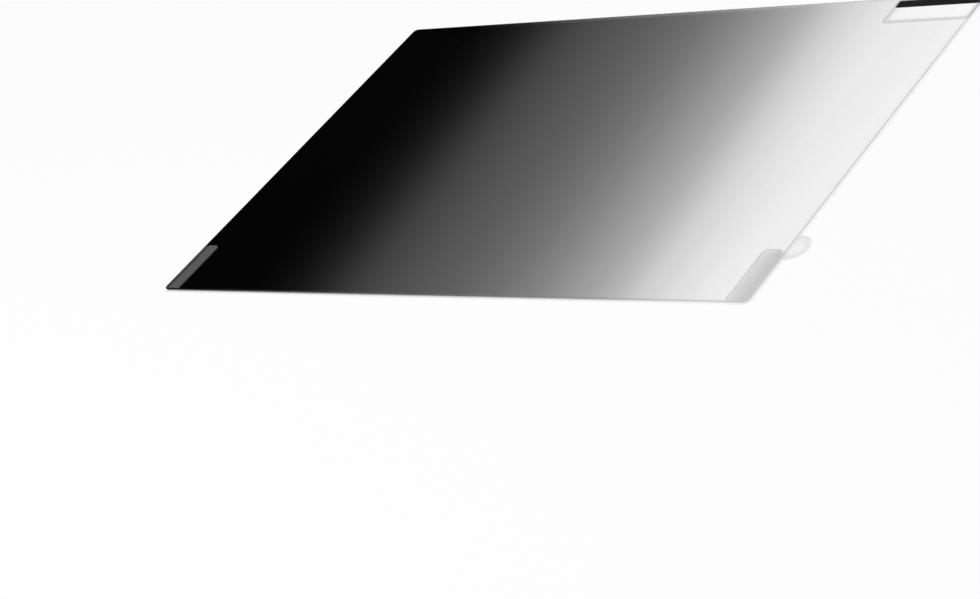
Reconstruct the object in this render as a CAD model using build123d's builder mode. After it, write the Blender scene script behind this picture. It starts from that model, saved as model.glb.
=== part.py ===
# Privacy filter for a notebook screen: a louvre film sheet that lies front face up,
# with a folded flip tab at each top corner, a soft strip at each bottom corner and a
# half-round pull tab at the right-hand side.
# Millimetres. X runs along the wide side, Y towards the edge with the flip tabs, Z up.
# The origin is under the middle of the whole outline, on the surface that it lies on.
import os

from build123d import *

# Louvre film sheet
sheet_width = 304.0
sheet_height = 190.0
sheet_thickness = 0.53
sheet_corner_radius = 2.0

# Flip tab: one strip of clear film, folded back under the top edge
tab_width = 40.0
tab_side_inset = 0.5
tab_top_inset = 0.2
film_thickness = 0.15
fold_gap = 0.12
bonded_leaf_depth = 16.0
leaf_corner_radius = 2.0

# Black adhesive pad under the free leaf of each flip tab
pad_depth = 4.4
pad_thickness = 0.3
pad_margin = 0.6
pad_corner_radius = 0.6

# Translucent strip on the front face, thinner along its outer side
strip_width = 9.0
strip_length = 28.5
strip_thickness = 0.42
strip_lip_thickness = 0.14
strip_slope_width = 3.0
strip_inset = 0.3
strip_end_radius = 2.2

# Half-round pull tab of frosted film, bonded under the right-hand edge of the sheet
pull_tab_radius = 6.8
pull_tab_reach = 8.0
pull_tab_bond_depth = 5.0
pull_tab_thickness = 0.15
pull_tab_corner_radius = 1.5
pull_tab_rise = 31.3

# Room for the adhesive between pieces that are bonded face to face
bond_line = 0.03

# Heights of the layers above the surface
free_leaf_z = pad_thickness + bond_line + film_thickness / 2
bonded_leaf_z = free_leaf_z + film_thickness + fold_gap
sheet_back_z = bonded_leaf_z + film_thickness / 2 + bond_line
sheet_front_z = sheet_back_z + sheet_thickness
strip_back_z = sheet_front_z + bond_line
pull_tab_z = sheet_back_z - bond_line - pull_tab_thickness

# The pull tab widens the outline on one side only, so the sheet lies off centre
sheet_center_x = -pull_tab_reach / 2
sheet_edge_x = sheet_center_x + sheet_width / 2

# Places of the right-hand pieces
tab_center_x = sheet_edge_x - tab_side_inset - tab_width / 2
tab_top_y = sheet_height / 2 - tab_top_inset
fold_center_y = tab_top_y - film_thickness - fold_gap / 2
bonded_leaf_end_y = tab_top_y - bonded_leaf_depth
free_leaf_end_y = fold_center_y - pad_depth - pad_margin
strip_outer_x = sheet_edge_x - strip_inset
strip_center_x = strip_outer_x - strip_width / 2
strip_foot_y = strip_inset - sheet_height / 2
strip_foot_radius = sheet_corner_radius - strip_inset
pull_inner_x = sheet_edge_x - pull_tab_bond_depth
pull_round_x = sheet_edge_x + pull_tab_reach - pull_tab_radius
pull_foot_y = pull_tab_rise - sheet_height / 2 - pull_tab_radius
pull_head_y = pull_foot_y + 2 * pull_tab_radius

os.makedirs("parts", exist_ok=True)

# The sheet is one laminate, cut from flat stock
with BuildPart() as filter_sheet:
    with BuildSketch(Plane.XY.offset(sheet_back_z)):
        with Locations((sheet_center_x, 0)):
            RectangleRounded(sheet_width, sheet_height, sheet_corner_radius)
    extrude(amount=sheet_thickness)

# The film's section: a long leaf under the sheet, a half-round fold and a short leaf below
with BuildPart() as flip_tab:
    with BuildSketch(Plane.YZ.offset(tab_center_x)):
        with BuildLine():
            bonded_leaf = Line((bonded_leaf_end_y, bonded_leaf_z), (fold_center_y, bonded_leaf_z))
            fold = TangentArc(bonded_leaf @ 1, (fold_center_y, free_leaf_z), tangent=bonded_leaf % 1)
            Line(fold @ 1, (free_leaf_end_y, free_leaf_z))
        trace(line_width=film_thickness)
    extrude(amount=tab_width / 2, both=True)
    leaf_ends = flip_tab.edges().filter_by(Axis.Z).group_by(Axis.Y)
    fillet(leaf_ends[0] + leaf_ends[1], leaf_corner_radius)

# The pad carries the free leaf and is the lowest piece
with BuildPart() as lid_pad:
    with BuildSketch():
        with Locations((tab_center_x, fold_center_y - pad_depth / 2)):
            RectangleRounded(tab_width - 2 * pad_margin, pad_depth, pad_corner_radius)
    extrude(amount=pad_thickness)

# The strip follows the sheet's corner at its foot and slopes down along its outer side
with BuildPart() as corner_strip:
    with BuildSketch(Plane.XY.offset(strip_back_z)) as strip_outline:
        with Locations((strip_center_x, strip_foot_y)):
            Rectangle(strip_width, strip_length, align=(Align.CENTER, Align.MIN))
        fillet(strip_outline.vertices().group_by(Axis.Y)[-1], strip_end_radius)
        fillet(strip_outline.vertices().group_by(Axis.Y)[0].sort_by(Axis.X)[-1], strip_foot_radius)
    extrude(amount=strip_thickness)
    with BuildSketch(Plane.XZ.offset(-strip_foot_y)):
        with BuildLine():
            slope_top = (strip_outer_x - strip_slope_width, strip_back_z + strip_thickness)
            slope_foot = (strip_outer_x, strip_back_z + strip_lip_thickness)
            Polyline(slope_top, slope_foot, (strip_outer_x, slope_top[1]), close=True)
        make_face()
    extrude(amount=-strip_length, mode=Mode.SUBTRACT)

# The pull tab is a flat tongue with a half-round end that stands out past the sheet
with BuildPart() as pull_tab:
    with BuildSketch(Plane.XY.offset(pull_tab_z)) as tongue:
        with BuildLine():
            near_side = Line((pull_inner_x, pull_foot_y), (pull_round_x, pull_foot_y))
            round_end = TangentArc(near_side @ 1, (pull_round_x, pull_head_y), tangent=near_side % 1)
            Polyline(round_end @ 1, (pull_inner_x, pull_head_y), near_side @ 0)
        make_face()
        fillet(tongue.vertices().group_by(Axis.X)[0], pull_tab_corner_radius)
    extrude(amount=pull_tab_thickness)

filter_sheet.part.label = "filter_sheet"
export_step(filter_sheet.part, "parts/filter_sheet.step")
pull_tab.part.label = "pull_tab"
export_step(pull_tab.part, "parts/pull_tab.step")

# The left-hand pieces are mirror images of the right-hand ones about the sheet's middle
right_pieces = {"flip_tab": flip_tab, "lid_pad": lid_pad, "corner_strip": corner_strip}
for name, right in right_pieces.items():
    with BuildPart() as left:
        mirror(right.part, about=Plane.YZ.offset(sheet_center_x))
    right.part.label = f"{name}_right"
    left.part.label = f"{name}_left"
    export_step(right.part, f"parts/{name}_right.step")
    export_step(left.part, f"parts/{name}_left.step")
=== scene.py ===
import math
import bpy
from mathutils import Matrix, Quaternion, Vector


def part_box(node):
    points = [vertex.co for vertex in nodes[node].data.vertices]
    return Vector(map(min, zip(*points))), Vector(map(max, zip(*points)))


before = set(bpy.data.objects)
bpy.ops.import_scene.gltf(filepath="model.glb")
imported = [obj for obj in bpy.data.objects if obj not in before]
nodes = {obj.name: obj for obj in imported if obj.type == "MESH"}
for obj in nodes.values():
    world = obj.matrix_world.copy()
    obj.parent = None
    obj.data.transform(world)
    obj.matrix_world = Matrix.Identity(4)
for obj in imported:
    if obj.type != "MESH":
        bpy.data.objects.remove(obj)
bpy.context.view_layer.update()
sheetLow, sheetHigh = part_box("filter_sheet")
sheetMiddle = (sheetLow.x + sheetHigh.x) / 2
tabCornerRadius = 0.002  # of the flip tabs, whose outline also shows in the sheet
noiseSpan = (0.3, 0.7)  # nearly all values of a noise lie between these
print("frame loaded:", ", ".join(sorted(nodes)))


# Small helpers for node trees

def feed(tree, source, socket):  # a socket is linked, a plain value is set
    if isinstance(source, bpy.types.NodeSocket):
        tree.links.new(source, socket)
    else:
        socket.default_value = source


def calc(tree, operation, first, second=None, third=None, clamp=False):
    node = tree.nodes.new("ShaderNodeMath")
    node.operation = operation
    node.use_clamp = clamp
    for source, socket in zip((first, second, third), node.inputs):
        if source is not None:
            feed(tree, source, socket)
    return node.outputs[0]


def vectorCalc(tree, operation, first, second=None):
    node = tree.nodes.new("ShaderNodeVectorMath")
    node.operation = operation
    feed(tree, first, node.inputs[0])
    if second is not None:
        feed(tree, second, node.inputs[1])
    return node.outputs["Value"] if operation == "LENGTH" else node.outputs["Vector"]


def splitAxes(tree, vector):
    node = tree.nodes.new("ShaderNodeSeparateXYZ")
    tree.links.new(vector, node.inputs[0])
    return node.outputs


def spread(tree, value, low, high, toLow=0.0, toHigh=1.0, smooth=False):  # map range, clamped
    node = tree.nodes.new("ShaderNodeMapRange")
    node.interpolation_type = "SMOOTHSTEP" if smooth else "LINEAR"
    feed(tree, value, node.inputs["Value"])
    for name, number in (("From Min", low), ("From Max", high), ("To Min", toLow), ("To Max", toHigh)):
        node.inputs[name].default_value = number
    return node.outputs["Result"]


def grain(tree, place, perMetre, detail=2.0, stretch=(1.0, 1.0, 1.0)):  # noise at a real scale
    mapping = tree.nodes.new("ShaderNodeMapping")
    mapping.inputs["Scale"].default_value = [perMetre * s for s in stretch]
    tree.links.new(place, mapping.inputs["Vector"])
    noise = tree.nodes.new("ShaderNodeTexNoise")
    noise.inputs["Scale"].default_value = 1.0
    noise.inputs["Detail"].default_value = detail
    tree.links.new(mapping.outputs["Vector"], noise.inputs["Vector"])
    return noise.outputs["Fac"]


def around(tree, noise, share):  # a factor that wanders by this share to both sides of 1
    return spread(tree, noise, *noiseSpan, 1.0 - share, 1.0 + share)


def blendColours(tree, share, first, second):
    node = tree.nodes.new("ShaderNodeMix")
    node.data_type = "RGBA"
    feed(tree, share, node.inputs["Factor"])
    feed(tree, first, node.inputs["A"])
    feed(tree, second, node.inputs["B"])
    return node.outputs["Result"]


def addBump(tree, height, shader, strength, depth):
    bump = tree.nodes.new("ShaderNodeBump")
    bump.inputs["Strength"].default_value = strength
    bump.inputs["Distance"].default_value = depth
    tree.links.new(height, bump.inputs["Height"])
    tree.links.new(bump.outputs["Normal"], shader.inputs["Normal"])


def seenRays(tree):  # 1 for the camera and for what is mirrored or seen through, 0 for light that lands
    rays = tree.nodes.new("ShaderNodeLightPath").outputs
    mirrored = calc(tree, "MAXIMUM", rays["Is Glossy Ray"], rays["Is Transmission Ray"])
    return calc(tree, "MAXIMUM", rays["Is Camera Ray"], mirrored)


def grey(level):
    return (level, level, level, 1.0)


def newFinish(name, specular):
    finish = bpy.data.materials.new(name)
    finish.use_nodes = True
    tree = finish.node_tree
    shader = next(n for n in tree.nodes if n.type == "BSDF_PRINCIPLED")
    shader.inputs["Specular IOR Level"].default_value = specular
    place = tree.nodes.new("ShaderNodeTexCoord").outputs["Object"]
    return finish, tree, shader, place


def foldedX(tree, axes):  # X with the sheet's left half laid over its right half
    fromMiddle = calc(tree, "ABSOLUTE", calc(tree, "SUBTRACT", axes["X"], sheetMiddle))
    return calc(tree, "ADD", fromMiddle, sheetMiddle)


def insideBy(tree, axes, low, high, radius, bothSides=False):  # distance in from a rounded outline
    across = foldedX(tree, axes) if bothSides else axes["X"]
    flat = tree.nodes.new("ShaderNodeCombineXYZ")
    tree.links.new(across, flat.inputs["X"])
    tree.links.new(axes["Y"], flat.inputs["Y"])
    middle = ((low.x + high.x) / 2, (low.y + high.y) / 2, 0.0)
    core = ((high.x - low.x) / 2 - radius, (high.y - low.y) / 2 - radius, 0.0)
    reach = vectorCalc(tree, "ABSOLUTE", vectorCalc(tree, "SUBTRACT", flat.outputs[0], middle))
    past = vectorCalc(tree, "SUBTRACT", reach, core)
    corner = vectorCalc(tree, "LENGTH", vectorCalc(tree, "MAXIMUM", past, (0.0, 0.0, 0.0)))
    pastAxes = splitAxes(tree, past)
    side = calc(tree, "MINIMUM", calc(tree, "MAXIMUM", pastAxes["X"], pastAxes["Y"]), 0.0)
    return calc(tree, "SUBTRACT", calc(tree, "SUBTRACT", radius, corner), side)


def dress(finish, *names):  # CAD nodes keep their mesh and get this finish
    for name in names:
        nodes[name].data.materials.clear()
        nodes[name].data.materials.append(finish)


# Louvre film: black at the left end, fading to clear at the right
louvreFilm = {
    "fade": (  # share of the width, and how clear the film is there
        (0.09, 0.0),
        (0.20, 0.099),
        (0.37, 0.375),
        (0.55, 0.523),
        (0.73, 0.75),
        (0.87, 0.956),
        (1.0, 1.0),
    ),
    "lean": 0.10,  # the fade starts a little further left at the top
    "streaks": {"perMetre": 1.0, "detail": 3.0, "stretch": (160.0, 5.0, 1.0)},
    "streakDepth": 0.012,
    "haze": 0.028,  # held back by the dry face, where no flip tab is bonded to it
    "hazeBlend": 0.00005,
    "cornerRadius": 0.002,
    "rimWidth": 0.0008,
    "rimShade": 0.23,
    "black": grey(0.0002),
    "cutEdge": grey(0.2),
    "satin": {"perMetre": 900.0, "detail": 3.0},
    "roughness": (0.16, 0.24),
    "tooth": {"perMetre": 5000.0},
    "bump": {"strength": 0.05, "depth": 0.00002},
    "specular": 0.08,
}


def makeLouvreFilm(s):
    finish, tree, shader, place = newFinish("louvre_film", s["specular"])
    axes = splitAxes(tree, place)
    leaning = calc(tree, "MULTIPLY_ADD", axes["Y"], s["lean"], axes["X"])
    share = spread(tree, leaning, sheetLow.x, sheetHigh.x)
    curve = tree.nodes.new("ShaderNodeFloatCurve")
    points = curve.mapping.curves[0].points
    points[0].location = (0.0, 0.0)
    points[-1].location = s["fade"][-1]
    for stop in s["fade"][:-1]:
        points.new(*stop)
    curve.mapping.update()
    tree.links.new(share, curve.inputs["Value"])
    streak = grain(tree, place, **s["streaks"])
    streaks = spread(tree, streak, *noiseSpan, 1.0 - s["streakDepth"], 1.0)
    tabLow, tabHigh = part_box("flip_tab_right")
    overTab = insideBy(tree, axes, tabLow, tabHigh, tabCornerRadius, bothSides=True)
    dry = spread(tree, overTab, -s["hazeBlend"], s["hazeBlend"], 1.0 - s["haze"], 1.0)
    inward = insideBy(tree, axes, sheetLow, sheetHigh, s["cornerRadius"])
    rim = spread(tree, inward, 0.0, s["rimWidth"], 1.0, 0.0, smooth=True)
    clear = calc(tree, "MULTIPLY", curve.outputs["Value"], streaks)
    clear = calc(tree, "MULTIPLY", clear, dry)
    clear = calc(tree, "MULTIPLY", clear, calc(tree, "MULTIPLY_ADD", rim, -s["rimShade"], 1.0))
    feed(tree, calc(tree, "SUBTRACT", 1.0, clear, clamp=True), shader.inputs["Alpha"])
    paleEdge = calc(tree, "MULTIPLY", rim, share)
    feed(tree, blendColours(tree, paleEdge, s["black"], s["cutEdge"]), shader.inputs["Base Color"])
    satin = grain(tree, place, **s["satin"])
    feed(tree, spread(tree, satin, *noiseSpan, *s["roughness"]), shader.inputs["Roughness"])
    addBump(tree, grain(tree, place, **s["tooth"]), shader, **s["bump"])
    return finish


dress(makeLouvreFilm(louvreFilm), "filter_sheet")
print("filter sheet: louvre film")


# Clear film of the flip tabs: seen by its cut edge and a faint gloss
clearFilm = {
    "body": 0.002,
    "rim": 0.14,
    "rimWidth": 0.003,
    "colour": (0.05, 0.052, 0.054, 1.0),
    "handling": {"perMetre": 260.0, "detail": 3.0},
    "handlingSpan": (0.35, 0.65),
    "roughness": (0.06, 0.14),
    "specular": 0.5,
}


def makeClearFilm(s):
    finish, tree, shader, place = newFinish("clear_film", s["specular"])
    axes = splitAxes(tree, place)
    low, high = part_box("flip_tab_right")
    inward = insideBy(tree, axes, low, high, tabCornerRadius, bothSides=True)
    cover = spread(tree, inward, 0.0, s["rimWidth"], s["rim"], s["body"], smooth=True)
    feed(tree, cover, shader.inputs["Alpha"])
    shader.inputs["Base Color"].default_value = s["colour"]
    handled = grain(tree, place, **s["handling"])
    feed(tree, spread(tree, handled, *s["handlingSpan"], *s["roughness"]), shader.inputs["Roughness"])
    return finish


dress(makeClearFilm(clearFilm), "flip_tab_left", "flip_tab_right")
print("flip tabs: clear film")


# Black foam adhesive of the lid pads
blackAdhesive = {
    "dark": grey(0.011),
    "light": grey(0.019),
    "cloud": {"perMetre": 350.0},
    "cells": {"perMetre": 4200.0, "detail": 4.0},
    "roughness": (0.62, 0.85),
    "bump": {"strength": 0.35, "depth": 0.00005},
    "specular": 0.08,
}


def makeBlackAdhesive(s):
    finish, tree, shader, place = newFinish("black_adhesive", s["specular"])
    cloud = grain(tree, place, **s["cloud"])
    feed(tree, blendColours(tree, cloud, s["dark"], s["light"]), shader.inputs["Base Color"])
    cells = grain(tree, place, **s["cells"])
    feed(tree, spread(tree, cells, *noiseSpan, *s["roughness"]), shader.inputs["Roughness"])
    addBump(tree, cells, shader, **s["bump"])
    return finish


dress(makeBlackAdhesive(blackAdhesive), "lid_pad_left", "lid_pad_right")
print("lid pads: black foam adhesive")


# Translucent strips at the lower corners, with painted shade along their outer slope: a darker grey
# there
greyStrip = {
    "face": {"colour": grey(0.36), "cover": 0.29},
    # The slope's darker grey is painted shade: a shaded copy of the face's grey.
    "shadedSlope": {"colour": grey(0.175), "cover": 0.295},
    "slopeWidth": 0.003,
    "slopeBlend": 0.0004,
    "skin": 0.00003,  # the bonded underside is clear
    "cloud": {"perMetre": 420.0, "detail": 3.0},
    "mottle": 0.06,
    "satin": {"perMetre": 1500.0, "detail": 3.0},
    "roughness": (0.38, 0.52),
    "tooth": {"perMetre": 3000.0},
    "bump": {"strength": 0.12, "depth": 0.00003},
    "specular": 0.1,
}


def makeGreyStrip(s):
    finish, tree, shader, place = newFinish("grey_strip", s["specular"])
    axes = splitAxes(tree, place)
    face, shadedSlope = s["face"], s["shadedSlope"]
    low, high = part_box("corner_strip_right")
    inset = calc(tree, "SUBTRACT", high.x, foldedX(tree, axes))
    slopeEnd = (s["slopeWidth"] - s["slopeBlend"], s["slopeWidth"] + s["slopeBlend"])
    onFace = spread(tree, inset, *slopeEnd, smooth=True)
    cover = calc(tree, "MULTIPLY_ADD", onFace, face["cover"] - shadedSlope["cover"], shadedSlope["cover"])
    cover = calc(tree, "MULTIPLY", cover, around(tree, grain(tree, place, **s["cloud"]), s["mottle"]))
    above = calc(tree, "GREATER_THAN", axes["Z"], low.z + s["skin"])
    feed(tree, calc(tree, "MULTIPLY", cover, above), shader.inputs["Alpha"])
    # Painted shade: the slope gets the darker grey, the face keeps its own grey.
    feed(tree, blendColours(tree, onFace, shadedSlope["colour"], face["colour"]), shader.inputs["Base Color"])
    satin = grain(tree, place, **s["satin"])
    feed(tree, spread(tree, satin, *noiseSpan, *s["roughness"]), shader.inputs["Roughness"])
    addBump(tree, grain(tree, place, **s["tooth"]), shader, **s["bump"])
    return finish


dress(makeGreyStrip(greyStrip), "corner_strip_left", "corner_strip_right")
print("corner strips: translucent grey")


# Frosted film of the pull tab: clear where the sheet covers it, darker along its round end
frostedFilm = {
    "bonded": 0.002,
    "body": 0.058,
    "rim": 0.125,
    "rimWidth": 0.004,
    "edgeBlend": 0.0001,
    "colour": grey(0.45),
    "cloud": {"perMetre": 700.0, "detail": 3.0},
    "mottle": 0.05,
    "roughness": (0.34, 0.48),
    "specular": 0.1,
}


def makeFrostedFilm(s):
    finish, tree, shader, place = newFinish("frosted_film", s["specular"])
    axes = splitAxes(tree, place)
    low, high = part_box("pull_tab")
    endRadius = (high.y - low.y) / 2
    inward = insideBy(tree, axes, low, high, endRadius)
    cover = spread(tree, inward, 0.0, s["rimWidth"], s["rim"], s["body"], smooth=True)
    cloud = grain(tree, place, **s["cloud"])
    cover = calc(tree, "MULTIPLY", cover, around(tree, cloud, s["mottle"]))
    outside = spread(tree, axes["X"], sheetHigh.x - s["edgeBlend"], sheetHigh.x)
    cover = calc(tree, "MULTIPLY", cover, outside)
    feed(tree, calc(tree, "MAXIMUM", cover, s["bonded"]), shader.inputs["Alpha"])
    shader.inputs["Base Color"].default_value = s["colour"]
    feed(tree, spread(tree, cloud, *noiseSpan, *s["roughness"]), shader.inputs["Roughness"])
    return finish


dress(makeFrostedFilm(frostedFilm), "pull_tab")
print("pull tab: frosted film")


# Pale floor: it keeps the shadow near the sheet, and is all white to the camera further out
floorStage = {
    "halfSize": 12.0,
    "colour": grey(0.97),
    "whiteShare": (0.4, 1.0),  # near the sheet, and past the reach
    "reach": (0.3, 2.0),
}


def makeFloor(s):
    bpy.ops.mesh.primitive_plane_add(size=2 * s["halfSize"], location=(0.0, 0.0, 0.0))
    floor = bpy.context.object
    floor.name = "floor"
    paper = bpy.data.materials.new("floor_paper")
    paper.use_nodes = True
    tree = paper.node_tree
    tree.nodes.clear()
    matte = tree.nodes.new("ShaderNodeBsdfDiffuse")
    matte.inputs["Color"].default_value = s["colour"]
    glow = tree.nodes.new("ShaderNodeEmission")
    place = tree.nodes.new("ShaderNodeTexCoord").outputs["Object"]
    white = spread(tree, vectorCalc(tree, "LENGTH", place), *s["reach"], *s["whiteShare"], smooth=True)
    mixed = tree.nodes.new("ShaderNodeMixShader")
    tree.links.new(calc(tree, "MULTIPLY", seenRays(tree), white), mixed.inputs["Fac"])
    tree.links.new(matte.outputs[0], mixed.inputs[1])
    tree.links.new(glow.outputs[0], mixed.inputs[2])
    out = tree.nodes.new("ShaderNodeOutputMaterial")
    tree.links.new(mixed.outputs[0], out.inputs["Surface"])
    floor.data.materials.append(paper)


makeFloor(floorStage)
print("floor laid")


# Soft studio light: two broad lamps well above, and a dim room that looks pale along the horizon
studio = {
    "lamps": {
        "key_lamp": {"azimuth": -35.0, "elevation": 58.0, "distance": 4.2, "size": 2.4, "watts": 139.0},
        "fill_lamp": {"azimuth": 120.0, "elevation": 60.0, "distance": 4.2, "size": 2.4, "watts": 80.0},
    },
    "room": 0.02,
    "horizon": 0.95,
    "horizonTop": (0.06, 0.10),  # sines of the angles where the pale band ends
}


def outward(azimuth, elevation):  # azimuth 0 stands in front, at -Y, and 90 at +X
    a, e = math.radians(azimuth), math.radians(elevation)
    return Vector((math.sin(a) * math.cos(e), -math.cos(a) * math.cos(e), math.sin(e)))


def placeHolder(name, data, place, turn):  # a lamp's or camera's object
    holder = bpy.data.objects.new(name, data)
    holder.location = place
    holder.rotation_mode = "QUATERNION"
    holder.rotation_quaternion = turn
    bpy.context.scene.collection.objects.link(holder)
    return holder


def makeStudio(s):
    for name, lamp in s["lamps"].items():
        light = bpy.data.lights.new(name, "AREA")
        light.energy = lamp["watts"]
        light.size = lamp["size"]
        direction = outward(lamp["azimuth"], lamp["elevation"])
        facing = (-direction).to_track_quat("-Z", "Y")
        placeHolder(name, light, direction * lamp["distance"], facing)
    world = bpy.data.worlds.new("studio_room")
    bpy.context.scene.world = world
    world.use_nodes = True
    tree = world.node_tree
    back = next(n for n in tree.nodes if n.type == "BACKGROUND")
    skyward = splitAxes(tree, tree.nodes.new("ShaderNodeTexCoord").outputs["Generated"])["Z"]
    band = spread(tree, skyward, *s["horizonTop"], s["horizon"] - s["room"], 0.0, smooth=True)
    feed(tree, calc(tree, "MULTIPLY_ADD", band, seenRays(tree), s["room"]), back.inputs["Color"])


makeStudio(studio)
print("studio lit")


# Camera at the photograph's angle to the sheet
cameraView = {
    "aim": (0.02984, -0.09722),  # where the view axis meets the front face
    "azimuth": 49.802,
    "elevation": 27.890,
    "distance": 1.06116,
    "roll": -27.630,
    "lens": 104.708,
    "sensorWidth": 36.0,
    "clipEnd": 50.0,
    "clearFaces": 24,  # how many a ray may pass: the pads are seen and lit through several films
}


def makeCamera(s):
    camera = bpy.data.cameras.new("photo_camera")
    camera.lens = s["lens"]
    camera.sensor_width = s["sensorWidth"]
    camera.sensor_fit = "HORIZONTAL"
    camera.clip_end = s["clipEnd"]
    direction = outward(s["azimuth"], s["elevation"])
    aim = Vector((*s["aim"], sheetHigh.z))
    place = aim + direction * s["distance"]
    level = (-direction).to_track_quat("-Z", "Y")
    roll = Quaternion((0.0, 0.0, 1.0), math.radians(s["roll"]))
    bpy.context.scene.camera = placeHolder("photo_camera", camera, place, level @ roll)
    bpy.context.scene.cycles.transparent_max_bounces = s["clearFaces"]
    bpy.context.scene.view_settings.view_transform = "Standard"


makeCamera(cameraView)
print("camera set")
